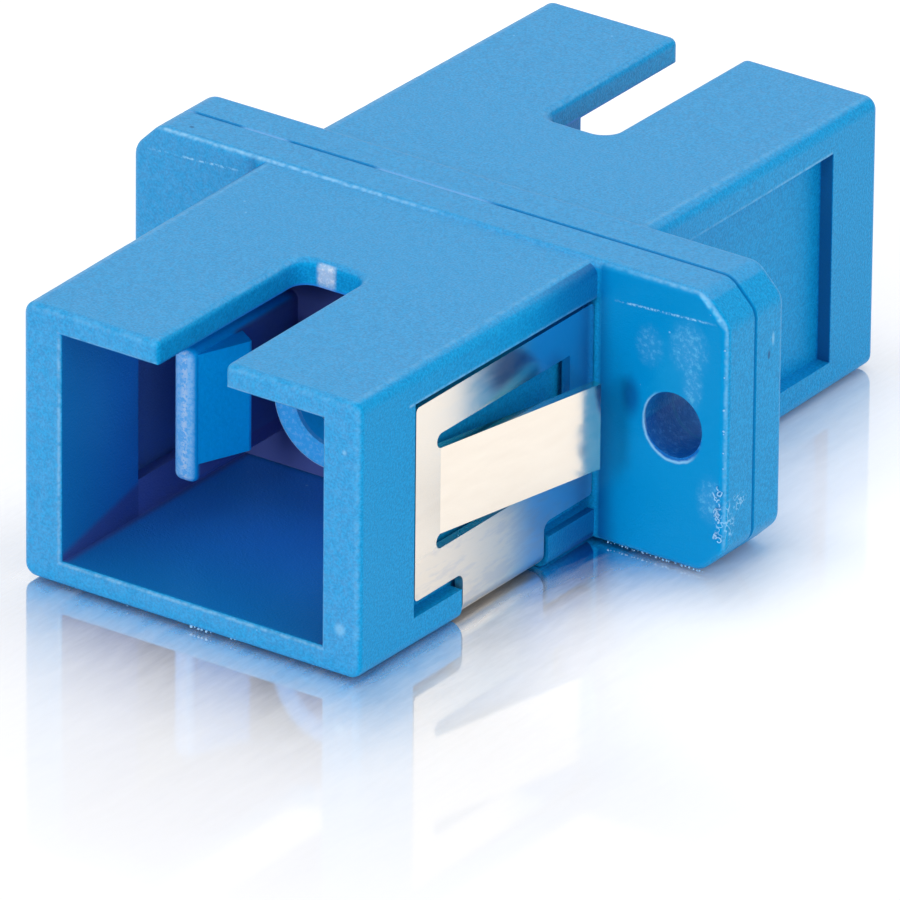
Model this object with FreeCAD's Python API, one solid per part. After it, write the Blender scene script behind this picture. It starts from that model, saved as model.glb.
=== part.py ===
import FreeCAD, Part
import math
import os

# SC simplex fibre adapter: a coupler that joins two square SC plugs end to end through a panel.
# Two moulded housing halves meet on a flange. Each half holds one latch holder (a plate, a centre
# barrel and two hooked arms), the two barrels hold the split sleeve, and a sprung steel clip
# wraps under the front half to grip the panel behind the flange.
#
# Frame: millimetres. The origin is the middle of the sleeve, on the optical axis, in the plane
# where the two halves meet. +Y runs along the axis to the rear port, +X across the flange ears
# and +Z up, to the side with the key slots.

# Housing
body_width = 12.8            # at the joint
body_height = 9.45           # at the joint
half_length = 13.9           # joint plane to an open end
draft_angle = 0.4            # degrees, the body narrows towards each open end
side_wall = 1.5              # at the joint
top_wall = 0.9               # at the joint
body_edge_radius = 0.42      # the four long edges of the body
end_edge_radius = 0.25       # edges round the open end and along the key slot
port_bevel = 0.1             # edge of the port at its mouth
key_slot_width = 2.52
key_slot_end = 6.4           # joint plane to the closed end of the slot
key_slot_radius = 0.6        # corners at the closed end

# Flange, half on each moulding
flange_half = 1.55
flange_ear = 4.8             # how far an ear stands out from the side of the body
flange_rise = 0.08           # the flange sits this much above the middle of the body
flange_corner_cut = 0.92
flange_corner_radius = 0.7   # softens the two ends of a corner cut
flange_edge_radius = 0.25
joint_groove = 0.08          # bevel on each half that leaves the groove round the joint
screw_hole_diameter = 2.15
screw_hole_to_ear_end = 1.95

# Recess for the clip in each side of the body
recess_depth = 0.58
rail_height = 1.13           # band of full wall left above and below the recess
front_recess_end = 11.05     # joint plane to the far end of the recess
rear_recess_end = 11.4

# Panel clip, bent from sheet
clip_thickness = 0.3
clip_gap = 0.17              # wing to the floor of the recess
clip_flange_gap = 0.04       # wings to the flange
clip_end_clearance = 0.1     # wings to the front end of the recess
clip_top_clearance = 0.195   # wings to the top of the recess
clip_low_clearance = 0.495   # wings to the bottom of the recess
clip_corner_radius = 0.15
clip_front_bar = 1.1         # metal in front of the tongue's slots
clip_rear_bar = 1.25         # metal behind the window
tongue_height = 2.88
tongue_slot = 0.5            # cut above and below the tongue
tongue_root_setback = 0.2    # the bend lies this far inside the slots' ends
tongue_end_gap = 0.1
tongue_angle = 11.4          # degrees, outwards
strap_width = 4.3
strap_bend_radius = 0.15     # inside of the bend
strap_corner_radius = 0.3    # where the strap leaves the wing
strap_clearance = 0.12       # each side of the strap in its groove
strap_groove_depth = 0.45

# Latch holder, one in each half
holder_clearance = 0.05
plate_thickness = 1.15
plate_overlap = 0.85         # how far the plate reaches behind each side wall
block_reach = 4.35           # joint plane to the front of the block
barrel_diameter = 4.25
barrel_reach = 6.7
barrel_edge_radius = 0.15
ferrule_hole_diameter = 2.56     # at the sleeve
ferrule_hole_draft = 3.0         # degrees, the hole widens towards its mouth
ferrule_hole_bevel = 0.08
latch_reach = 9.8
latch_side_gap = 1.25        # arm to the side wall of the port
latch_thickness = 0.8
latch_width = 4.5            # height of an arm, along Z
latch_hook_depth = 0.7
latch_hook_top_margin = 0.15     # hook to the top of the arm
latch_hook_bottom_margin = 0.65
latch_crest_width = 0.1
latch_ramp_length = 1.95
latch_catch_length = 0.45
latch_tip_radius = 0.3
latch_edge_radius = 0.25     # the lower edges of an arm, and the upright ones at its tip
relief_depth = 0.4           # pocket in the side wall that an arm springs into
relief_clearance = 0.35      # above and below the arm
relief_lead = 0.05           # pocket beyond the tip of the arm

# Split sleeve
sleeve_length = 11.4
sleeve_outer_diameter = 3.2
sleeve_bore_diameter = 2.5
sleeve_slit = 0.5
sleeve_radial_clearance = 0.06
sleeve_end_clearance = 0.05

# Worked out from the sizes above
half_width = body_width / 2
half_height = body_height / 2
port_half_width = half_width - side_wall
port_half_height = half_height - top_wall
flange_half_width = half_width + flange_ear
flange_top = flange_rise + half_height
flange_bottom = flange_rise - half_height
screw_hole_x = flange_half_width - screw_hole_to_ear_end
recess_floor = half_width - recess_depth
recess_half_height = half_height - rail_height
clip_reach = front_recess_end - clip_end_clearance
wing_inner = recess_floor + clip_gap
wing_outer = wing_inner + clip_thickness
wing_rear = flange_half + clip_flange_gap
wing_top = recess_half_height - clip_top_clearance
wing_bottom = clip_low_clearance - recess_half_height
wing_middle = (wing_top + wing_bottom) / 2
groove_ceiling = half_height - strap_groove_depth
strap_middle = (clip_reach + wing_rear) / 2
pocket_depth = plate_thickness + holder_clearance
pocket_half_width = port_half_width + plate_overlap
arm_outer = port_half_width - latch_side_gap
arm_inner = arm_outer - latch_thickness

PAST = 1.0                   # how far a cutting block runs past the surface it opens
TINY = 1e-4                  # for telling which plane an edge lies in
Z_AXIS = FreeCAD.Vector(0, 0, 1)
Y_AXIS = FreeCAD.Vector(0, 1, 0)
X_AXIS = FreeCAD.Vector(1, 0, 0)
ORIGIN = FreeCAD.Vector(0, 0, 0)


def block(x0, x1, y0, y1, z0, z1):
    """A box between two corners."""
    return Part.makeBox(x1 - x0, y1 - y0, z1 - z0, FreeCAD.Vector(x0, y0, z0))


def rod(diameter, y0, y1, x=0.0, z=0.0):
    """A cylinder along Y."""
    return Part.makeCylinder(diameter / 2, y1 - y0, FreeCAD.Vector(x, y0, z), Y_AXIS)


def cone(diameter0, diameter1, y0, y1):
    """A cone along Y on the optical axis."""
    return Part.makeCone(diameter0 / 2, diameter1 / 2, y1 - y0, FreeCAD.Vector(0, y0, 0), Y_AXIS)


def prism(outline, z0, z1):
    """An outline of (x, y) points, raised from z0 to z1."""
    points = [FreeCAD.Vector(x, y, z0) for x, y in outline]
    face = Part.Face(Part.makePolygon(points + points[:1]))
    return face.extrude(FreeCAD.Vector(0, 0, z1 - z0))


def edges_along(shape, axis):
    """Straight edges parallel to an axis."""
    found = []
    for edge in shape.Edges:
        ends = [vertex.Point for vertex in edge.Vertexes]
        if len(ends) == 2 and (ends[1] - ends[0]).cross(axis).Length < TINY:
            found.append(edge)
    return found


def edges_at_y(shape, y):
    """Edges that lie wholly in the plane at y."""
    return [e for e in shape.Edges if abs(e.BoundBox.YMin - y) < TINY and abs(e.BoundBox.YMax - y) < TINY]


def flange_plate():
    """Half of the flange, with cut corners, an eased outer edge and a bevel at the joint."""
    w = flange_half_width
    c = flange_corner_cut
    top = flange_top
    low = flange_bottom
    corners = [(-w + c, low), (w - c, low), (w, low + c), (w, top - c),
               (w - c, top), (-w + c, top), (-w, top - c), (-w, low + c)]
    points = [FreeCAD.Vector(x, -flange_half, z) for x, z in corners]
    face = Part.Face(Part.makePolygon(points + points[:1]))
    plate = face.extrude(FreeCAD.Vector(0, flange_half, 0))
    plate = plate.makeFillet(flange_corner_radius, edges_along(plate, Y_AXIS))
    plate = plate.makeFillet(flange_edge_radius, edges_at_y(plate, -flange_half))
    return plate.makeChamfer(joint_groove, edges_at_y(plate, 0.0))


def tapered_body():
    """The body of one half, narrowing from the joint to the open end, with its long edges eased."""
    inset = half_length * math.tan(math.radians(draft_angle))
    sections = []
    for y, x, z in ((-half_length, half_width - inset, half_height - inset), (0.0, half_width, half_height)):
        corners = [FreeCAD.Vector(a * x, y, b * z) for a, b in ((-1, -1), (1, -1), (1, 1), (-1, 1))]
        sections.append(Part.makePolygon(corners + corners[:1]))
    body = Part.makeLoft(sections, True, True)
    long_edges = [e for e in body.Edges if e.BoundBox.YLength > half_length - TINY]
    return body.makeFillet(body_edge_radius, long_edges)


def key_slot():
    """Slot in the top wall from the open end, rounded at its closed end."""
    h = key_slot_width / 2
    slot = block(-h, h, -half_length - PAST, -key_slot_end, 0.0, half_height + PAST)
    closed_end = [e for e in edges_along(slot, Z_AXIS) if abs(e.BoundBox.YMax + key_slot_end) < TINY]
    return slot.makeFillet(key_slot_radius, closed_end)


def port_mouth():
    """The end of the port, where its edge is bevelled."""
    sections = []
    for y, grow in ((-half_length, port_bevel), (port_bevel - half_length, 0.0)):
        x = port_half_width + grow
        z = port_half_height + grow
        corners = [FreeCAD.Vector(a * x, y, b * z) for a, b in ((-1, -1), (1, -1), (1, 1), (-1, 1))]
        sections.append(Part.makePolygon(corners + corners[:1]))
    return Part.makeLoft(sections, True, True)


def eased_edges(body):
    """The outer edges of the open end, and the edges of the key slot at its mouth and on top."""
    found = []
    for edge in body.Edges:
        box = edge.BoundBox
        at_end = abs(box.YMin + half_length) < TINY and abs(box.YMax + half_length) < TINY
        of_port = max(box.XMax, -box.XMin) < port_half_width + TINY and box.ZMax < port_half_height + TINY
        of_slot = max(box.XMax, -box.XMin) < key_slot_width / 2 + TINY and box.ZMin > port_half_height + TINY
        if (at_end and not of_port) or of_slot:
            found.append(edge)
    return found


def housing_half(recess_end):
    """One moulded half, with its open end towards -Y and its joint face at y = 0."""
    port = block(-port_half_width, port_half_width, -half_length, 0.0, -port_half_height, port_half_height)
    body = tapered_body().cut(port).cut(key_slot())
    body = body.makeFillet(end_edge_radius, eased_edges(body))
    half = body.fuse(flange_plate()).cut(port)

    pocket = block(-pocket_half_width, pocket_half_width, -pocket_depth, 0.0,
                   -port_half_height, port_half_height)
    cuts = [pocket, port_mouth()]

    relief_x = port_half_width + relief_depth
    relief_z = latch_width / 2 + relief_clearance
    cuts.append(block(-relief_x, relief_x, -latch_reach - relief_lead, 0.0, -relief_z, relief_z))

    groove = strap_width / 2 + strap_clearance
    y0 = -strap_middle - groove
    y1 = -strap_middle + groove
    below = -half_height - PAST
    for side in (-1, 1):
        inner = side * recess_floor
        outer = side * (half_width + PAST)
        x0 = min(inner, outer)
        x1 = max(inner, outer)
        cuts.append(block(x0, x1, -recess_end, -flange_half, -recess_half_height, recess_half_height))
        cuts.append(block(x0, x1, y0, y1, below, 0.0))
        cuts.append(rod(screw_hole_diameter, -flange_half, 0.0, side * screw_hole_x, flange_rise))
    cuts.append(block(-half_width, half_width, y0, y1, below, -groove_ceiling))
    for cut in cuts:
        half = half.cut(cut)
    return half.removeSplitter()


def latch_arm(side):
    """One sprung arm with a sloped lead-in and a square catch, its hook towards the barrel."""
    tip = -latch_reach
    z0 = -latch_width / 2
    z1 = latch_width / 2
    arm = block(arm_inner, arm_outer, tip, -block_reach, z0, z1)
    tip_corners = [e for e in edges_along(arm, X_AXIS) if abs(e.BoundBox.YMax - tip) < TINY]
    arm = arm.makeFillet(latch_tip_radius, tip_corners)
    low_edges_of_arm = [e for e in edges_along(arm, Y_AXIS) if abs(e.BoundBox.ZMax - z0) < TINY]
    arm = arm.makeFillet(latch_edge_radius, low_edges_of_arm)
    ramp_start = tip + latch_edge_radius

    hook_x = arm_inner - latch_hook_depth
    crest = tip + latch_ramp_length
    catch = crest + latch_crest_width
    outline = [(arm_outer, ramp_start), (arm_inner, ramp_start), (hook_x, crest), (hook_x, catch),
               (arm_inner, catch + latch_catch_length), (arm_outer, catch + latch_catch_length)]
    hook = prism(outline, z0 + latch_hook_bottom_margin, z1 - latch_hook_top_margin)
    arm = arm.fuse(hook).removeSplitter()
    return arm if side > 0 else arm.mirror(ORIGIN, X_AXIS)


def latch_holder():
    """Plate, block, barrel and two arms in one moulding, for the half towards -Y."""
    plate_x = pocket_half_width - holder_clearance
    block_x = port_half_width - holder_clearance
    block_z = port_half_height - holder_clearance
    holder = block(-plate_x, plate_x, -plate_thickness, 0.0, -block_z, block_z)
    holder = holder.fuse(block(-block_x, block_x, -block_reach, 0.0, -block_z, block_z))
    barrel = rod(barrel_diameter, -barrel_reach, 0.0)
    barrel = barrel.makeFillet(barrel_edge_radius, edges_at_y(barrel, -barrel_reach))
    holder = holder.fuse(barrel)
    for side in (-1, 1):
        holder = holder.fuse(latch_arm(side))

    bore = sleeve_outer_diameter + 2 * sleeve_radial_clearance
    shoulder = -(sleeve_length / 2 + sleeve_end_clearance)
    holder = holder.cut(rod(bore, shoulder, 0.0))
    widening = 2 * (barrel_reach + shoulder) * math.tan(math.radians(ferrule_hole_draft))
    mouth = ferrule_hole_diameter + widening
    holder = holder.cut(cone(mouth, ferrule_hole_diameter, -barrel_reach, shoulder))
    bevel_end = -barrel_reach + ferrule_hole_bevel
    holder = holder.cut(cone(mouth + 2 * ferrule_hole_bevel, mouth, -barrel_reach, bevel_end))
    return holder.removeSplitter()


def split_sleeve():
    """Zirconia tube, slit along its length so that it springs onto the two ferrules."""
    half = sleeve_length / 2
    tube = rod(sleeve_outer_diameter, -half, half).cut(rod(sleeve_bore_diameter, -half, half))
    slit = block(-sleeve_slit / 2, sleeve_slit / 2, -half, half, 0.0, sleeve_outer_diameter)
    return tube.cut(slit)


def clip_wing():
    """The clip's flat side at +X, with its window and the tongue bent out of it."""
    wing = block(wing_inner, wing_outer, -clip_reach, -wing_rear, wing_bottom, wing_top)
    wing = wing.makeFillet(clip_corner_radius, edges_along(wing, X_AXIS))

    slots_end = -clip_reach + clip_front_bar
    root = slots_end + tongue_root_setback
    window_end = -wing_rear - clip_rear_bar
    t0 = wing_middle - tongue_height / 2
    t1 = wing_middle + tongue_height / 2
    window = block(wing_inner, wing_outer, root, window_end, t0 - tongue_slot, t1 + tongue_slot)
    wing = wing.cut(window)
    r = tongue_slot / 2
    for z in (t0 - r, t1 + r):
        slot = block(wing_inner, wing_outer, slots_end + r, window_end, z - r, z + r)
        end = Part.makeCylinder(r, clip_thickness, FreeCAD.Vector(wing_inner, slots_end + r, z), X_AXIS)
        wing = wing.cut(slot).cut(end)

    angle = math.radians(tongue_angle)
    length = window_end - tongue_end_gap - root
    out = math.sin(angle)
    along = math.cos(angle)
    tip_x = wing_outer + length * out
    tip_y = root + length * along
    inner_root = root + clip_thickness * math.tan(angle / 2)
    outline = [(wing_outer, root), (tip_x, tip_y),
               (tip_x - clip_thickness * along, tip_y + clip_thickness * out),
               (wing_inner, inner_root), (wing_inner, root)]
    return wing.fuse(prism(outline, t0, t1))


def clip_strap():
    """The band that wraps under the body and joins the two wings."""
    y0 = -strap_middle - strap_width / 2
    y1 = -strap_middle + strap_width / 2
    bottom = -groove_ceiling - clip_thickness
    outside = block(-wing_outer, wing_outer, y0, y1, bottom, wing_bottom)
    inside = block(-wing_inner, wing_inner, y0, y1, -groove_ceiling, wing_bottom)
    outside = outside.makeFillet(strap_bend_radius + clip_thickness, low_edges(outside, bottom))
    inside = inside.makeFillet(strap_bend_radius, low_edges(inside, -groove_ceiling))
    return outside.cut(inside)


def low_edges(shape, z):
    """The edges along Y at height z."""
    return [e for e in edges_along(shape, Y_AXIS) if abs(e.BoundBox.ZMax - z) < TINY]


def strap_corner(y, way):
    """Rounded inner corner at +X where the strap leaves the wing, on the side that way points to."""
    r = strap_corner_radius
    far = y + way * r
    centre = FreeCAD.Vector(wing_inner, far, wing_bottom - r)
    filler = block(wing_inner, wing_outer, min(y, far), max(y, far), wing_bottom - r, wing_bottom)
    return filler.cut(Part.makeCylinder(r, clip_thickness, centre, X_AXIS))


def panel_clip():
    """Strap and two wings, one bent sheet."""
    right = clip_wing()
    for way in (-1, 1):
        right = right.fuse(strap_corner(-strap_middle + way * strap_width / 2, way))
    left = right.mirror(ORIGIN, X_AXIS)
    return clip_strap().fuse(right).fuse(left).removeSplitter()


def turned(shape):
    """The same shape turned half a turn about Z, to face the rear."""
    copy = shape.copy()
    copy.rotate(ORIGIN, Z_AXIS, 180)
    return copy


def build():
    """Every sub-part by its name."""
    holder = latch_holder()
    return {
        "front_housing": housing_half(front_recess_end),
        "rear_housing": turned(housing_half(rear_recess_end)),
        "front_latch_holder": holder,
        "rear_latch_holder": turned(holder),
        "split_sleeve": split_sleeve(),
        "panel_clip": panel_clip(),
    }


os.makedirs("parts", exist_ok=True)
for name, shape in build().items():
    if not shape.isValid() or len(shape.Solids) != 1:
        raise ValueError(name + " is not one valid solid")
    shape.Solids[0].exportStep("parts/" + name + ".step")
    print(name, "volume", round(shape.Volume, 3), "faces", len(shape.Faces))
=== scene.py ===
# The looks of a blue SC fibre adapter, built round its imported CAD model.
# The origin is on the optical axis where the two halves meet, +Y runs to the rear port, +X
# across the ears and +Z up to the key slots. Sizes on the adapter and places round it are in
# millimetres. The camera's, the floor's and the lamps' are in metres.

import bmesh
import bpy
import math
import random
from mathutils import Matrix, Vector


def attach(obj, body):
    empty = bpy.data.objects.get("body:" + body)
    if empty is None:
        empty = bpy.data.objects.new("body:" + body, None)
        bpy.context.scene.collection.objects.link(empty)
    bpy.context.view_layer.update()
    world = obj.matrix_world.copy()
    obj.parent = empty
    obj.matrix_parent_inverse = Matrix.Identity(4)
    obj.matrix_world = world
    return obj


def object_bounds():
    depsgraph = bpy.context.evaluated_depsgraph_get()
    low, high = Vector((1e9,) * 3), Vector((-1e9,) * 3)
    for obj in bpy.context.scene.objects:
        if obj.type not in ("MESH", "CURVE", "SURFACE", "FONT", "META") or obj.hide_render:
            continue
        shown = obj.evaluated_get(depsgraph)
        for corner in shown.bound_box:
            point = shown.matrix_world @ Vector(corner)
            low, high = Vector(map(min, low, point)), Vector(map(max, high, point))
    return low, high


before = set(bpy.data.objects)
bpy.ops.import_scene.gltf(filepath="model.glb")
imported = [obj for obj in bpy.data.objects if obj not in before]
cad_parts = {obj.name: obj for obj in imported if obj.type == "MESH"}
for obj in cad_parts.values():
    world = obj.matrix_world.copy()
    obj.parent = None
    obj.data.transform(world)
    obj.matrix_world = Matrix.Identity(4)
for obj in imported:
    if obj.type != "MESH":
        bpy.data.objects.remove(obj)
cad_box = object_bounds()


# ---------------------------------------------------------------------------------------------
# Camera
# A long lens, well back, looking down on the front right corner of the adapter, with a slight
# roll. The aim point is given as the shift of the camera across its own view.
# ---------------------------------------------------------------------------------------------
MM = 0.001                   # one millimetre in metres
camera_azimuth = math.radians(35.04)
camera_elevation = math.radians(25.68)
camera_roll = math.radians(0.55)
camera_distance = 543.14 * MM
camera_aside = -0.15 * MM
camera_above = -3.61 * MM
camera_lens = 703.8          # focal length, in millimetres as the sensor's width is
camera_sensor = 36.0


def direction(azimuth, elevation):
    """The way from the adapter to a place round it. Azimuth 0 is in front, and 90 to its right."""
    level = math.cos(elevation)
    return Vector((math.sin(azimuth) * level, -math.cos(azimuth) * level, math.sin(elevation)))


scene = bpy.context.scene
away = direction(camera_azimuth, camera_elevation)
level_right = Vector((0, 0, 1)).cross(away).normalized()
level_up = away.cross(level_right)
view_right = level_right * math.cos(camera_roll) + level_up * math.sin(camera_roll)
view_up = level_up * math.cos(camera_roll) - level_right * math.sin(camera_roll)

lens = bpy.data.cameras.new("camera")
lens.lens = camera_lens
lens.sensor_width = camera_sensor
camera = bpy.data.objects.new("camera", lens)
scene.collection.objects.link(camera)
stand = away * camera_distance + view_right * camera_aside + view_up * camera_above
view = Matrix((view_right, view_up, away)).transposed().to_4x4()
camera.matrix_world = Matrix.Translation(stand) @ view
scene.camera = camera


# ---------------------------------------------------------------------------------------------
# Housing halves
# Two mouldings in sky blue plastic with a fine matte grain. Their colour carries painted light:
# a sheen, shade in corners, pockets and holes, deeper and bluer ports, and edge highlights. Their
# edges are also rubbed pale, and the right ear is scuffed above and beside its screw hole.
# ---------------------------------------------------------------------------------------------
side_edge = 6.3
top_edge = 4.63
end_face = 13.9
port_half_width = 4.9
port_half_height = 3.825
key_slot_half = 1.26
key_slot_end = 6.4
pocket_start = 9.85          # where the pocket beside a latch arm begins
latch_top = 2.25
recess_floor = 5.82
recess_half_height = 3.595
rear_recess_end = 11.4
flange_face = 1.55
flange_top = 4.8
flange_chamfer = 14.9        # across and up added together, on a cut corner of the flange
ear_end = 11.2
screw_hole_x = 9.25
screw_hole_z = 0.08
screw_hole_radius = 1.075

grain_scale = 13.0
grain_depth = 0.014
wear_scale = 4.0
wear_span = (0.30, 0.70)     # from the least to the most worn
fine_scale = 6.0
fine_span = (0.42, 0.66)
speck_spacing = 0.5
speck_size = 0.05
port_light_slope = 0.232     # the lit part of a port's wall starts higher further in
seam_half = 0.10             # joint line of the two halves
open_stretches = ((-10.2, -7.9), (-6.6, -2.8))       # of the joint, along the flange's top
spot_depth = 0.2

skin_dark = (0.002, 0.228, 0.540, 1)
skin_light = (0.006, 0.345, 0.730, 1)
housing_sheen = (0.00, 0.75, 1.00, 1)
sheen_colour = (0.55, 0.56, 0.78, 1)
right_ear_reflected_blue = (0.000, 0.250, 0.600, 1)
root_shade_blue = (0.002, 0.045, 0.240, 1)
port_deep_blue = (0.020, 0.210, 0.700, 1)
port_mouth_blue = (0.008, 0.190, 0.540, 1)
port_foot_shade = (0.055, 0.080, 0.330, 1)
pocket_shade_low = (0.085, 0.150, 0.500, 1)
pocket_shade_high = (0.030, 0.045, 0.190, 1)
recess_end_shade = (0.010, 0.130, 0.330, 1)
hole_shade_dark = (0.000, 0.110, 0.460, 1)
hole_shade_light = (0.040, 0.240, 0.640, 1)
pale_wear_and_highlight = (0.30, 0.60, 0.88, 1)
scuffed_blue = (0.10, 0.55, 0.82, 1)
joint_shade = (0.004, 0.170, 0.480, 1)
joint_painted_light = (0.300, 0.560, 0.900, 1)
highlight_white = (0.80, 0.84, 0.95, 1)
lip_pale = (0.30, 0.62, 0.88, 1)
pit_shade = (0.004, 0.090, 0.280, 1)


class Value:
    """One output of a node. Arithmetic on a number adds Math nodes to its tree."""

    def __init__(self, tree, socket):
        self.tree = tree
        self.socket = socket

    def math(self, operation, *others):
        """Adds a Math node for this and the others."""
        return self.tree.add("ShaderNodeMath", {"operation": operation}, (self, *others))

    def __add__(self, other):
        return self.math("ADD", other)

    def __sub__(self, other):
        return self.math("SUBTRACT", other)

    def __mul__(self, other):
        return self.math("MULTIPLY", other)

    def __rsub__(self, other):
        return self.tree.add("ShaderNodeMath", {"operation": "SUBTRACT"}, (other, self))

    def __abs__(self):
        return self.math("ABSOLUTE")

    __radd__ = __add__
    __rmul__ = __mul__

    def beside(self, output):
        """Another output of the same node."""
        return Value(self.tree, self.socket.node.outputs[output])

    def most(self, *others):
        """The largest of this and the others."""
        largest = self
        for other in others:
            largest = largest.math("MAXIMUM", other)
        return largest

    def least(self, other):
        """The smaller of this and the other."""
        return self.math("MINIMUM", other)

    def rise(self, low, high, first=0.0, last=1.0):
        """The first value below low and the last above high, with a smooth step between them."""
        ends = {"Value": self, "From Min": low, "From Max": high, "To Min": first, "To Max": last}
        smooth = {"interpolation_type": "SMOOTHSTEP"}
        return self.tree.add("ShaderNodeMapRange", smooth, ends, "Result")

    def fall(self, low, high, peak=1.0):
        """The peak below low and 0 above high, with a smooth step between them."""
        return self.rise(high, low, 0.0, peak)

    def fade(self, reach, power, peak):
        """The peak at 0, falling to 0 at reach, steeper at first for a higher power."""
        ends = {"Value": self, "From Min": 0.0, "From Max": reach, "To Min": 1.0, "To Max": 0.0}
        return self.tree.add("ShaderNodeMapRange", {}, ends, "Result").math("POWER", power) * peak

    def near(self, place, width, peak=1.0):
        """The peak at place, falling to 0 at a distance of width."""
        return abs(self - place).fall(0.0, width, peak)

    def within(self, low, high, soft):
        """1 between low and high, with soft ends inside them."""
        return self.rise(low, low + soft) * self.fall(high - soft, high)


class Tree:
    """The nodes of a material or of the world."""

    def __init__(self, owner):
        owner.use_nodes = True
        self.nodes = owner.node_tree.nodes
        self.links = owner.node_tree.links

    def add(self, kind, settings, inputs, output=0):
        """Adds a node of that kind, sets it up, fills its sockets and gives one output."""
        node = self.nodes.new(kind)
        for key, value in settings.items():
            setattr(node, key, value)
        pairs = inputs.items() if isinstance(inputs, dict) else enumerate(inputs)
        for key, value in pairs:
            self.fill(node.inputs[key], value)
        return Value(self, node.outputs[output])

    def fill(self, socket, value):
        """Links a value to a socket, or writes a number, a colour or a vector in it."""
        if isinstance(value, Value):
            self.links.new(value.socket, socket)
        else:
            socket.default_value = value

    def seen_rays(self):
        """1 for a ray from the camera, a mirror or glass, and 0 for one that lights a surface."""
        direct = self.add("ShaderNodeLightPath", {}, (), "Is Camera Ray")
        return direct.most(direct.beside("Is Glossy Ray"), direct.beside("Is Transmission Ray"))


class Finish(Tree):
    """A material with one Principled shader, and the means to vary it over a piece."""

    def __init__(self, name):
        self.material = bpy.data.materials.new(name)
        super().__init__(self.material)
        self.shader = self.nodes["Principled BSDF"]
        metres = self.add("ShaderNodeTexCoord", {}, (), "Object")
        self.place = self.vector("SCALE", {0: metres, "Scale": 1 / MM})
        self.folded = self.vector("ABSOLUTE", (self.place,))
        self.x, self.y, self.z = self.split(self.place)
        self.side, self.along, self.high = self.split(self.folded)

    def vector(self, operation, inputs, output="Vector"):
        """Adds a Vector Math node."""
        return self.add("ShaderNodeVectorMath", {"operation": operation}, inputs, output)

    def split(self, vector):
        """The three numbers of a vector."""
        first = self.add("ShaderNodeSeparateXYZ", {}, (vector,), "X")
        return first, first.beside("Y"), first.beside("Z")

    def noise(self, scale, detail, rough, stretch=None):
        """Noise about 0.5, with scale features in a millimetre, more of them where stretched."""
        place = self.vector("MULTIPLY", (self.place, stretch)) if stretch else self.place
        inputs = {"Vector": place, "Scale": scale, "Detail": detail, "Roughness": rough}
        return self.add("ShaderNodeTexNoise", {}, inputs, "Fac")

    def distance(self, place, centre, reach):
        """Distance of a place from a centre, in reaches along each axis. 0 leaves an axis out."""
        scale = [1 / r if r else 0.0 for r in reach]
        shift = [-c * s for c, s in zip(centre, scale)]
        offset = self.vector("MULTIPLY_ADD", (place, scale, shift))
        return self.vector("LENGTH", (offset,), "Value")

    def spot(self, centre, reach, core=0.2, peak=1.0):
        """An oval spot: its peak over the core's share of its reach, then fading to 0."""
        return self.distance(self.place, centre, reach).fall(core, 1.0, peak)

    def spots(self, *rows):
        """The strongest of several spots."""
        first, *rest = (self.spot(*row) for row in rows)
        return first.most(*rest)

    def specks(self, spacing, size, share):
        """Round specks: one cell in every spacing millimetres, a share of them filled."""
        cells = {"Vector": self.place, "Scale": 1 / spacing}
        distance = self.add("ShaderNodeTexVoronoi", {"feature": "F1"}, cells, "Distance")
        chosen = self.split(distance.beside("Color"))[0].math("LESS_THAN", share)
        return distance.fall(0.5 * size / spacing, size / spacing) * chosen

    def mix(self, mask, first, second):
        """The first colour where mask is 0, and the second where it is 1. Both are RGBA."""
        return self.add("ShaderNodeMix", {"data_type": "RGBA"}, {0: mask, 6: first, 7: second}, 2)

    def bump(self, height, depth):
        """A normal for a height of 0 to 1 that stands for depth millimetres."""
        inputs = {"Strength": 1.0, "Distance": depth * MM, "Height": height}
        return self.add("ShaderNodeBump", {}, inputs)

    def set(self, **sockets):
        """Sets the shader's sockets, named with _ for a space."""
        for key, value in sockets.items():
            self.fill(self.shader.inputs[key.replace("_", " ")], value)


def coat(node, finish):
    """Gives a CAD node its finish."""
    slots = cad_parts[node].data.materials
    slots.clear()
    slots.append(finish.material)


housing = Finish("housing_plastic")
x, y, z = housing.x, housing.y, housing.z
side, along, high = housing.side, housing.along, housing.high

grain = housing.noise(grain_scale, 1.0, 0.8)
skin = housing.mix(grain.rise(0.25, 0.75), skin_dark, skin_light)

# Wear comes in three scales: a coarse one, its hair-thin contour lines, and a fine speckle.
wear = housing.noise(wear_scale, 1.0, 0.8)
threads = abs(wear - 0.5).fall(0.010, 0.055)
fine = housing.noise(fine_scale, 2.0, 0.8)
streaks = fine.rise(*fine_span)

# Painted sheen stands in for the tent's reflection: pale on the top, the ends and the left ear,
# mottled and fainter towards the foot. The right ear mirrors the blue body instead, so it is
# painted a deeper blue.
ends = along.rise(end_face - 0.12, end_face - 0.02)
ear_front = y.near(-flange_face, 0.12) * side.rise(side_edge + 0.1, side_edge + 0.3)
right_ear = ear_front * x.rise(0.0, 0.1)
left_ear = ear_front - right_ear
painted_sheen = z.rise(top_edge - 0.10, top_edge - 0.02, 0.0, 0.75).most(ends, left_ear)
painted_sheen = painted_sheen * wear.rise(*wear_span, 0.062, 0.104) * z.rise(-4.7, -3.9, 0.4, 1.0)
skin = housing.mix(painted_sheen, skin, sheen_colour)
skin = housing.mix(right_ear * 0.94, skin, right_ear_reflected_blue)

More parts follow.
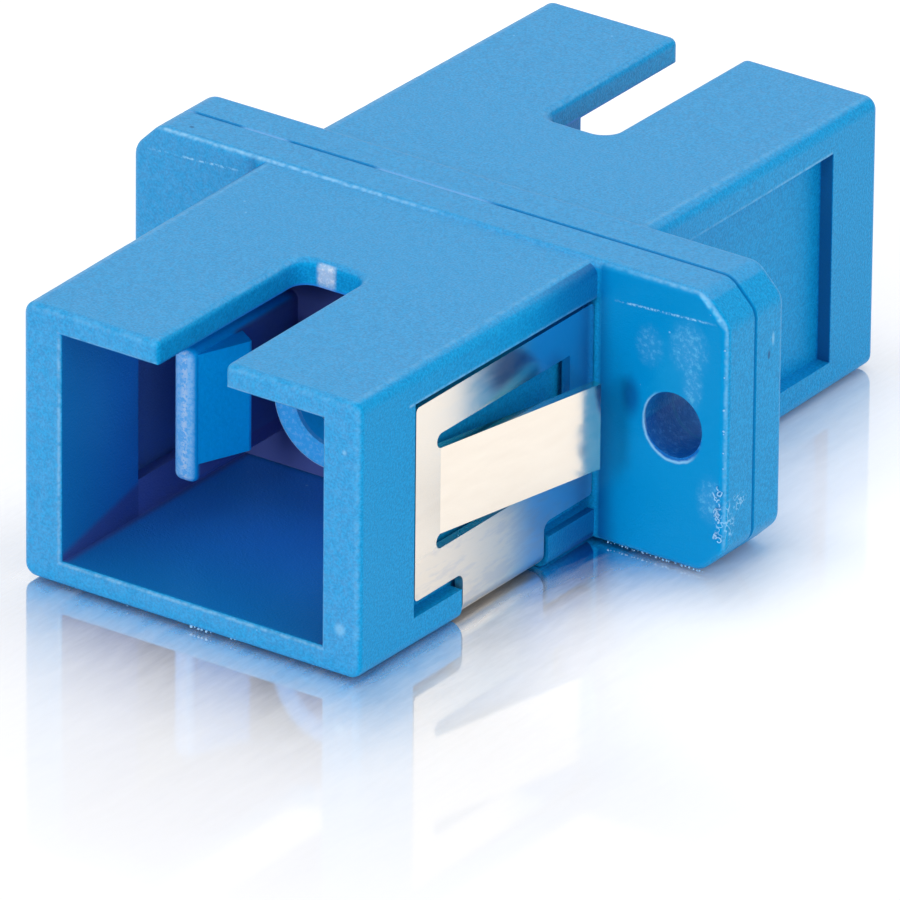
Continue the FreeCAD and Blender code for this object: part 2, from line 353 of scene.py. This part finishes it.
# Painted shade darkens the corner between the front half's side and its ear, most of all at the
# foot, and the tongue's shadow and dark reflection are painted on the ear beside its tip.
shaded_side = side.within(side_edge - 0.2, side_edge + 0.12, 0.05)
shaded_side = shaded_side * y.rise(-6.0, -1.6) * y.fall(-1.6, -flange_face)
shaded_side = shaded_side * z.rise(-3.9, -3.3, 0.95, 0.68)
shaded_ear = ear_front * (side + z * 0.04).fall(side_edge - 0.1, side_edge + 0.9, 0.80)
tongue_shadow = housing.spot((7.68, -flange_face, 0.60), (0.48, spot_depth, 0.95), 0.2, 0.60)
skin = housing.mix(shaded_side.most(shaded_ear, tongue_shadow), skin, root_shade_blue)

# The ports are moulded smoother. Their colour holds painted light: bluer, as light bounced inside,
# and lighter further in. Painted shade darkens the foot of their walls and the latch pockets.
inside = side.fall(port_half_width + 0.02, port_half_width + 0.09)
inside = inside * high.fall(port_half_height + 0.02, port_half_height + 0.09)
inside = inside * along.fall(end_face - 0.2, end_face - 0.1)
port_painted_blue = housing.mix(along.rise(8.0, 13.5), port_deep_blue, port_mouth_blue)
skin = housing.mix(inside, skin, port_painted_blue)
foot = (z + along * port_light_slope).fall(-0.595, -0.255)
foot = foot * side.rise(port_half_width - 0.35, port_half_width - 0.02)
skin = housing.mix(foot * inside * 0.85, skin, port_foot_shade)
pocket_shade = side.within(port_half_width - 0.10, port_half_width + 0.45, 0.07)
pocket_shade = pocket_shade * along.fall(pocket_start - 0.05, pocket_start + 0.02)
pocket_shade = pocket_shade * high.fall(port_half_height, port_half_height + 0.02)
pocket_shade_colour = housing.mix(z.rise(latch_top - 0.3, latch_top + 0.1), pocket_shade_low, pocket_shade_high)
skin = housing.mix(pocket_shade, skin, pocket_shade_colour)

# The end of the rear recess is painted in shadow, and the inside of each screw hole is painted
# darker and mottled, as the shade in it.
recess_end = side.within(recess_floor + 0.02, side_edge, 0.03) * y.near(rear_recess_end, 0.05)
recess_end = recess_end * high.fall(recess_half_height, recess_half_height + 0.02)
skin = housing.mix(recess_end, skin, recess_end_shade)
from_hole = housing.distance(housing.folded, (screw_hole_x, 0, screw_hole_z), (1, 0, 1))
in_hole = from_hole.fall(screw_hole_radius - 0.02, screw_hole_radius + 0.02)
in_hole = in_hole * side.rise(side_edge, side_edge + 0.1)
hole_shade = housing.mix(streaks * wear.rise(*wear_span), hole_shade_dark, hole_shade_light)
skin = housing.mix(in_hole, skin, hole_shade)

# Edges are pale, partly rubbed and partly a painted highlight on their roundings, broken up by the
# coarse wear.
mouth_line = (side - port_half_width).most(high - port_half_height).near(0.05, 0.08, 0.7) * ends
outer = (side - side_edge).most(high - top_edge)
end_line = outer.near(-0.10, 0.16, 0.18) * z.rise(-4.0, -3.0)
end_line = end_line * along.rise(end_face - 0.20, end_face - 0.08)
slot_line = side.near(key_slot_half + 0.08, 0.14, 0.20) * z.rise(top_edge - 0.10, top_edge - 0.02)
slot_line = slot_line * along.rise(key_slot_end - 0.1, key_slot_end + 0.2)
long_line = side.near(side_edge - 0.32, 0.14, 0.22) * z.rise(top_edge - 0.16, top_edge - 0.06)
long_line = long_line * z.fall(flange_top - 0.1, flange_top)
flange_line = y.near(0.08 - flange_face, 0.10) * x.fall(-4.0, 4.0)
flange_line = flange_line * z.rise(flange_top - 0.16, flange_top - 0.03)
flange_outline = (z - flange_top).most(x - ear_end, x + z - flange_chamfer)
rim_line = (y + wear * 0.1).near(0.12 - flange_face, 0.10, 0.8)
rim_line = rim_line.most(y.near(flange_face - 0.04, 0.10))
rim_line = rim_line * flange_outline.rise(-0.16, -0.02) * x.rise(7.0, 9.0, 0.25, 0.85)
recess_line = z.near(recess_half_height + 0.03, 0.08, 0.55) * side.near(side_edge + 0.02, 0.10)
recess_line = recess_line * along.within(flange_face, rear_recess_end, 0.1)
edge_wear_and_highlight = mouth_line.most(end_line, slot_line, long_line, flange_line, rim_line, recess_line)
edge_wear_and_highlight = edge_wear_and_highlight * wear.rise(*wear_span, 0.3, 1.0)

# The right ear is scuffed over and beside its hole. A panel drew a line along each ear, wore the
# hole's edge, and left torn threads over the right ear's end.
haze = housing.spots(((9.80, -flange_face, 2.75), (0.90, spot_depth, 1.2)),
                     ((9.95, -flange_face, 1.60), (0.50, spot_depth, 1.1)),
                     ((8.35, -flange_face, 2.50), (0.65, spot_depth, 0.9), 0.2, 0.6),
                     ((10.65, -flange_face, -2.10), (0.60, spot_depth, 1.0)))
hole_line = (from_hole + wear * 0.06).near(screw_hole_radius + 0.03, 0.08, 0.8)
hole_line = hole_line * y.near(-flange_face, 0.12)
hole_line = hole_line * (x + z * 0.8).fall(screw_hole_x - 0.5, screw_hole_x + 0.5)
level = z - x * 0.05
drawn_line = (level.near(3.32, 0.06) * right_ear).most(level.near(4.50, 0.06) * left_ear)
drawn_line = drawn_line * side.within(6.8, 10.9, 1.0) * streaks
torn = housing.spots(((ear_end, -0.95, -2.25), (0.7, 0.95, 0.45)),
                     ((ear_end, -1.35, -2.90), (0.7, 0.55, 0.75)))
torn = (torn * threads).rise(0.2, 0.8, 0.0, 0.75)
dust = housing.specks(speck_spacing, speck_size, right_ear.rise(0.0, 1.0, 0.045, 0.200)) * 0.5
rim_marks = housing.spots(((5.61, -end_face, -3.05), (0.30, spot_depth, 0.30), 0.2, 0.5),
                          ((5.73, -end_face, 2.92), (0.12, spot_depth, 0.12), 0.2, 0.5))
scuffs = haze * fine.rise(*fine_span, 0.08, 0.26)
pale = edge_wear_and_highlight.most(scuffs, hole_line, drawn_line, dust, torn, rim_marks)
# Rubbed edges, scuffs and marks are pale, together with the painted edge highlights.
colour = housing.mix(pale, skin, pale_wear_and_highlight)
colour = housing.mix(fine.rise(0.56, 0.66, 0.0, 0.4) * haze, colour, scuffed_blue)

# The joint between the halves is a thin dark line. Where it is closed along the top, its groove is
# painted pale, light painted over the shade the groove casts.
joint = along.fall(0.02, seam_half) * outer.rise(-0.1, 0.1)
open_left, open_middle = (x.within(start, end, 0.4) for start, end in open_stretches)
open_right = x.rise(0.8, 1.6)
open_joint = open_left.most(open_middle, open_right, z.fall(top_edge - 0.1, top_edge)) * joint
colour = housing.mix(open_joint * 0.9, colour, joint_shade)
colour = housing.mix((joint - open_joint) * 0.8, colour, joint_painted_light)

# A painted highlight on the closed end of the front key slot, a nick with a pale lip in the right
# ear's end, and shade painted dark in that nick and in a pit in the flange's top.
slot_highlight = x.within(-0.74, 0.10, 0.22) * y.near(-key_slot_end, 0.12)
slot_highlight = slot_highlight * z.rise(port_half_height - 0.1, port_half_height + 0.3)
slot_highlight = slot_highlight * fine.rise(*fine_span, 0.50, 0.90)
colour = housing.mix(slot_highlight, colour, highlight_white)
lip = housing.spot((ear_end, 0.95, 2.60), (0.1, 0.10, 0.32), 0.2, 0.6)
colour = housing.mix(lip, colour, lip_pale)
pit_shade_spots = housing.spots(((-9.36, -0.95, flange_top), (0.11, 0.09, 0.1), 0.4, 0.9),
                     ((ear_end, 0.73, 2.12), (0.1, 0.10, 0.20), 0.4, 0.9))
colour = housing.mix(pit_shade_spots, colour, pit_shade)

polish = right_ear.most(inside * 0.6)
housing.set(Base_Color=colour, Roughness=0.42 - polish * 0.20 + pale * 0.15,
            Specular_IOR_Level=0.5, Specular_Tint=housing_sheen,
            Normal=housing.bump(grain, grain_depth))
coat("front_housing", housing)
coat("rear_housing", housing)


# ---------------------------------------------------------------------------------------------
# Swarf and flash
# Hair-thin curls of plastic on the right ear's front edge, where a panel's rim scraped it, and
# the torn crumbs of moulding flash along the foot of the front rim and of the ear.
# ---------------------------------------------------------------------------------------------
flange_foot = -4.645
thread_radius = 0.018
thread_sides = 5
curl_steps = 12
curl_count = 22
curl_heights = ((-2.55, -1.55), (-3.40, -2.55))      # every third curl is in the lower stretch
ear_crumb_heights = (1.06, 0.37, 0.31, -0.35, -0.9, 2.2, 3.1)
crumb_radius = 0.065
rim_crumbs = ((0.02, 1.0), (0.15, 0.7), (0.28, 1.1), (0.41, 0.8), (0.58, 1.0), (0.74, 0.6),
              (1.52, 0.8), (1.66, 0.6), (-2.4, 0.5))  # place across and share of the radius
foot_crumb_count = 30
foot_crumb_start = 6.9
foot_crumb_step = 0.12
sorting_way = Vector((1, 10, 100))

torn_dark = (0.16, 0.46, 0.78, 1)
torn_light = (0.40, 0.66, 0.90, 1)

draw = random.Random(7)
shred = Finish("torn_plastic")
shred.set(Base_Color=shred.mix(shred.noise(5.0, 1.0, 0.5), torn_dark, torn_light),
          Roughness=0.55, Specular_IOR_Level=0.4)


def add_curl(mesh, centre, radius, axis, turn, drift):
    """A thread swept round an axis, with its end drifting along it."""
    axis = Vector(axis).normalized()
    arm = axis.orthogonal().normalized() * radius
    ring = bmesh.ops.create_circle(mesh, cap_ends=True, radius=thread_radius,
                                   segments=thread_sides)["verts"]
    across = axis.cross(arm).to_track_quat("Z", "Y").to_matrix().to_4x4()
    bmesh.ops.transform(mesh, matrix=Matrix.Translation(Vector(centre) + arm) @ across, verts=ring)
    faces = list({face for vertex in ring for face in vertex.link_faces})
    bmesh.ops.spin(mesh, geom=faces, cent=centre, axis=axis, dvec=axis * drift / curl_steps,
                   angle=turn, steps=curl_steps, use_duplicate=False)


def add_crumb(mesh, centre, radius):
    """A torn crumb: a small ball of few faces with its corners pulled about."""
    ball = bmesh.ops.create_icosphere(mesh, subdivisions=1, radius=radius)["verts"]
    for vertex in ball:
        vertex.co *= draw.uniform(0.45, 1.0)
    bmesh.ops.translate(mesh, verts=ball, vec=centre)


def keep(mesh, name):
    """Turns a bmesh in millimetres into a piece of the adapter, with its faces outwards.

    A spin leaves its faces in an order that changes from run to run, so they are sorted by place.
    """
    bmesh.ops.recalc_face_normals(mesh, faces=mesh.faces)
    mesh.faces.sort(key=lambda face: face.calc_center_median().dot(sorting_way))
    bmesh.ops.scale(mesh, verts=mesh.verts, vec=(MM, MM, MM))
    data = bpy.data.meshes.new(name)
    mesh.to_mesh(data)
    mesh.free()
    data.materials.append(shred.material)
    piece = bpy.data.objects.new(name, data)
    scene.collection.objects.link(piece)
    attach(piece, "root")


curls = bmesh.new()
for count in range(curl_count):
    low, high = curl_heights[count % 3 == 2]
    centre = (draw.uniform(10.90, 11.07), draw.uniform(-1.68, -1.56), draw.uniform(low, high))
    axis = (draw.uniform(-1, 1), draw.uniform(-1, 1), draw.uniform(-1, 1))
    radius, turn = draw.uniform(0.05, 0.09), draw.uniform(2.5, 5.5)
    add_curl(curls, centre, radius, axis, turn, draw.uniform(0.02, 0.08))
for height in ear_crumb_heights:
    centre = (11.10, -1.52, height + draw.uniform(-0.05, 0.05))
    add_crumb(curls, centre, draw.uniform(0.03, 0.05))
keep(curls, "ear_swarf")

flash = bmesh.new()
for across, share in rim_crumbs:
    centre = (across, -13.83, draw.uniform(-4.59, -4.54))
    add_crumb(flash, centre, crumb_radius * share)
for count in range(foot_crumb_count):
    across = foot_crumb_start + count * foot_crumb_step + draw.uniform(-0.05, 0.05)
    centre = (across, draw.uniform(-1.53, -1.47), flange_foot + draw.uniform(0.03, 0.06))
    add_crumb(flash, centre, crumb_radius * draw.uniform(0.35, 0.9))
keep(flash, "foot_flash")


# ---------------------------------------------------------------------------------------------
# Latch holders
# One in each half: plate, barrel and two hooked arms moulded in one from a similar blue plastic.
# The tips of the arms have a frosted skin, and the barrel's face a pale rim and painted light.
# ---------------------------------------------------------------------------------------------
arm_tip = 9.8
arm_inner = 2.85
hook_crest = 7.85
hook_foot = -1.6
barrel_face = 6.7
barrel_radius = 2.125
block_face = 4.35
holder_grain_depth = 0.010

holder_dark = (0.000, 0.320, 0.800, 1)
holder_light = (0.002, 0.440, 0.980, 1)
holder_sheen = (0.06, 0.75, 1.00, 1)
low_shade = (0.070, 0.100, 0.330, 1)
high_shade = (0.020, 0.030, 0.130, 1)
shank_shade = (0.060, 0.075, 0.280, 1)
frost_pale = (0.48, 0.66, 0.90, 1)

holder = Finish("holder_plastic")
z, side, along = holder.z, holder.side, holder.along
grain = holder.noise(7.0, 2.0, 0.6)
skin = holder.mix(grain, holder_dark, holder_light)

# The block's face, the underside of the hooks and the arms' shanks lie in shadow.
from_axis = holder.distance(holder.place, (0, 0, 0), (1, 0, 1))
on_block = along.fall(block_face, block_face + 0.6)
on_block = on_block * from_axis.rise(barrel_radius, barrel_radius + 0.05)
under_hook = z.fall(hook_foot - 0.05, hook_foot + 0.02) * side.rise(2.0, 2.2)
under_hook = under_hook * along.fall(arm_tip - 0.4, arm_tip - 0.2)
shade = on_block.most(under_hook)
skin = holder.mix(shade, skin, low_shade)
skin = holder.mix(shade * z.rise(2.0, 2.8), skin, high_shade)
shank = along.fall(hook_crest - 0.5, hook_crest) * along.rise(block_face, block_face + 0.1)
skin = holder.mix(shank * side.near(arm_inner, 0.1) * 0.9, skin, shank_shade)

# Pale frosting, mottled on the tips with a stronger streak. The barrel's face has a pale rim and
# mottled clouds, and is painted lighter as light falling on it.
mottle = holder.noise(7.0, 2.0, 0.8)
patches = mottle.rise(0.40, 0.60)
tip = along.rise(arm_tip - 0.16, arm_tip - 0.04)
frost = tip * (0.25 + patches * 0.25)
streak = tip * side.near(arm_inner + 0.34, 0.32) * (0.25 + patches * 0.75) * 0.9
at_barrel = along.within(barrel_face - 0.25, barrel_face + 0.05, 0.02) * from_axis.fall(2.2, 2.3)
rim = at_barrel * from_axis.near(barrel_radius - 0.05, 0.07, 0.85)
cloud_and_light = at_barrel * (mottle.rise(0.50, 0.62) * 0.16 + 0.10)
pale = frost.most(streak, rim, cloud_and_light)
holder.set(Base_Color=holder.mix(pale, skin, frost_pale), Roughness=0.34 + pale * 0.2,
           Specular_IOR_Level=0.4, Specular_Tint=holder_sheen,
           Normal=holder.bump(grain, holder_grain_depth))
coat("front_latch_holder", holder)
coat("rear_latch_holder", holder)


# ---------------------------------------------------------------------------------------------
# Split sleeve
# A zirconia tube, ground and polished, with one slit along its length. Only its bore shows,
# through the ferrule holes of the two barrels.
# ---------------------------------------------------------------------------------------------
zirconia_warm = (0.84, 0.83, 0.78, 1)
zirconia_pale = (0.90, 0.89, 0.85, 1)

zirconia = Finish("zirconia")
zirconia.set(Base_Color=zirconia.mix(zirconia.noise(1.5, 1.0, 0.5), zirconia_warm, zirconia_pale),
             Roughness=0.12)
coat("split_sleeve", zirconia)


# ---------------------------------------------------------------------------------------------
# Panel clip
# Bright rolled spring strip, punched and bent to a U, with one tongue sprung out of each side.
# The right wing is painted bluer towards the ear, as the ear's reflection in it, and is brushed
# duller below its tongue.
# ---------------------------------------------------------------------------------------------
wing_face = 6.29
tongue_foot = -1.29
rolling = (1, 0.6, 2.5)      # the strip's grain runs along its length

steel_dark = (0.86, 0.765, 0.645, 1)
steel_light = (0.94, 0.850, 0.730, 1)
reflected_ear_blue = (0.300, 0.570, 0.800, 1)
steel_dull = (0.50, 0.52, 0.58, 1)

spring = Finish("spring_steel")
x, y, z = spring.x, spring.y, spring.z
rolled = spring.noise(1.2, 3.0, 0.6, rolling)
steel = spring.mix(rolled, steel_dark, steel_light)
wing = x.fall(wing_face + 0.03, wing_face + 0.2)
# Towards the ear the wing is painted blue, as the ear's reflection in it.
steel = spring.mix(wing * y.rise(-6.4, -4.4) * 0.85, steel, reflected_ear_blue)
brushed = wing * z.fall(tongue_foot - 0.8, tongue_foot)
steel = spring.mix(brushed * rolled.rise(0.45, 0.65) * 0.35, steel, steel_dull)
spring.set(Base_Color=steel, Metallic=1.0,
           Roughness=0.05 + rolled * 0.12 + wing * 0.06 + brushed * 0.16)
coat("panel_clip", spring)


# ---------------------------------------------------------------------------------------------
# Floor and light
# A white glossy table in a light tent, with soft lamps in front, to the right and overhead. The
# table mirrors what stands on it, most of all close by.
# ---------------------------------------------------------------------------------------------
floor_half = 1.5
floor_level = cad_box[0][2]
mirror_reach = 9.0
mirror_share = 0.62
ear_reach = 4.0
ear_share = 0.32
faint_reach = 22.0
faint_share = 0.16
corner_reach = 5.0
corner_share = 0.50
contact_reach = 4.0
smear_stretch = (1.0, 0.2, 1.0)
tent_light = 0.60
lamp_distance = 0.40

table_white = (0.90, 0.90, 0.91, 1)
table_black = (0, 0, 0, 1)
table_glow = (0.25, 0.25, 0.26, 1)
polish_tint = (0.93, 0.95, 1.0, 1)
tent_white = (1, 1, 1, 1)

sheet = bmesh.new()
bmesh.ops.create_grid(sheet, x_segments=1, y_segments=1, size=floor_half,
                      matrix=Matrix.Translation((0, 0, floor_level)))
floor_mesh = bpy.data.meshes.new("floor")
sheet.to_mesh(floor_mesh)
sheet.free()
floor = bpy.data.objects.new("floor", floor_mesh)
scene.collection.objects.link(floor)

table = Finish("table")


def outside(half_x, half_y):
    """Distance on the table from a rectangle about the origin. The 100 leaves out the height."""
    past = table.vector("SUBTRACT", (table.folded, (half_x, half_y, 100.0)))
    return table.vector("LENGTH", (table.vector("MAXIMUM", (past, (0.0, 0.0, 0.0))),), "Value")


# The mirror is strongest beside the body and the ears and in the corners between them. Smears
# break it up, and it weakens towards the rear right.
from_body = outside(side_edge, end_face)
from_ears = outside(ear_end, flange_face)
corner = from_body.fade(corner_reach, 1.0, 1.0) * from_ears.fade(corner_reach, 1.0, 1.0)
mirror = from_body.fade(mirror_reach, 3.0, mirror_share)
mirror = mirror + from_ears.fade(ear_reach, 2.0, ear_share)
mirror = mirror + from_body.fall(0.0, faint_reach, faint_share) + corner * corner_share
mirror = mirror * (table.side + table.y).rise(-2.0, 14.0, 1.0, 0.55)
mirror = mirror * (table.noise(2.0, 3.0, 0.7, smear_stretch) * 0.6 + 0.7)

# The table glows to whoever looks at it, but not where the adapter keeps the light off it, and
# only half as much in front of the adapter.
contact = from_body.least(from_ears).fade(contact_reach, 2.0, 0.9)
lit = table.seen_rays() * (1 - contact.most(corner * 0.8)) * table.y.rise(-14.5, -8.0, 0.5, 1.0)
table.set(Base_Color=table_white, Roughness=0.9, Specular_IOR_Level=0.0,
          Emission_Color=table.mix(lit, table_black, table_glow), Emission_Strength=1.0)
polish = table.add("ShaderNodeBsdfAnisotropic", {}, {"Color": polish_tint, "Roughness": 0.06})
plain = Value(table, table.shader.outputs[0])
surface = table.add("ShaderNodeMixShader", {}, (mirror, plain, polish))
table.fill(table.nodes["Material Output"].inputs["Surface"], surface)
floor_mesh.materials.append(table.material)

# The tent is plain white to the camera, and lights the adapter with less than it shows.
world = bpy.data.worlds.new("tent")
scene.world = world
tent = Tree(world)
backdrop = tent.nodes["Background"]
tent.fill(backdrop.inputs["Color"], tent_white)
tent.fill(backdrop.inputs["Strength"], tent.seen_rays() * (1 - tent_light) + tent_light)


def lamp(name, azimuth, elevation, size, share):
    """A square lamp aimed at the adapter. It gives a face turned to it a share of full light."""
    light = bpy.data.lights.new(name, "AREA")
    light.size = size
    light.energy = share * (math.pi * lamp_distance) ** 2
    away = direction(math.radians(azimuth), math.radians(elevation))
    turn = away.to_track_quat("Z", "Y").to_matrix().to_4x4()
    stand = bpy.data.objects.new(name, light)
    stand.matrix_world = Matrix.Translation(away * lamp_distance) @ turn
    scene.collection.objects.link(stand)


lamp("front_lamp", azimuth=1, elevation=16, size=0.10, share=0.36)
lamp("side_lamp", azimuth=85, elevation=24, size=0.25, share=0.20)
lamp("top_lamp", azimuth=180, elevation=75, size=0.30, share=0.29)

scene.view_settings.view_transform = "Standard"
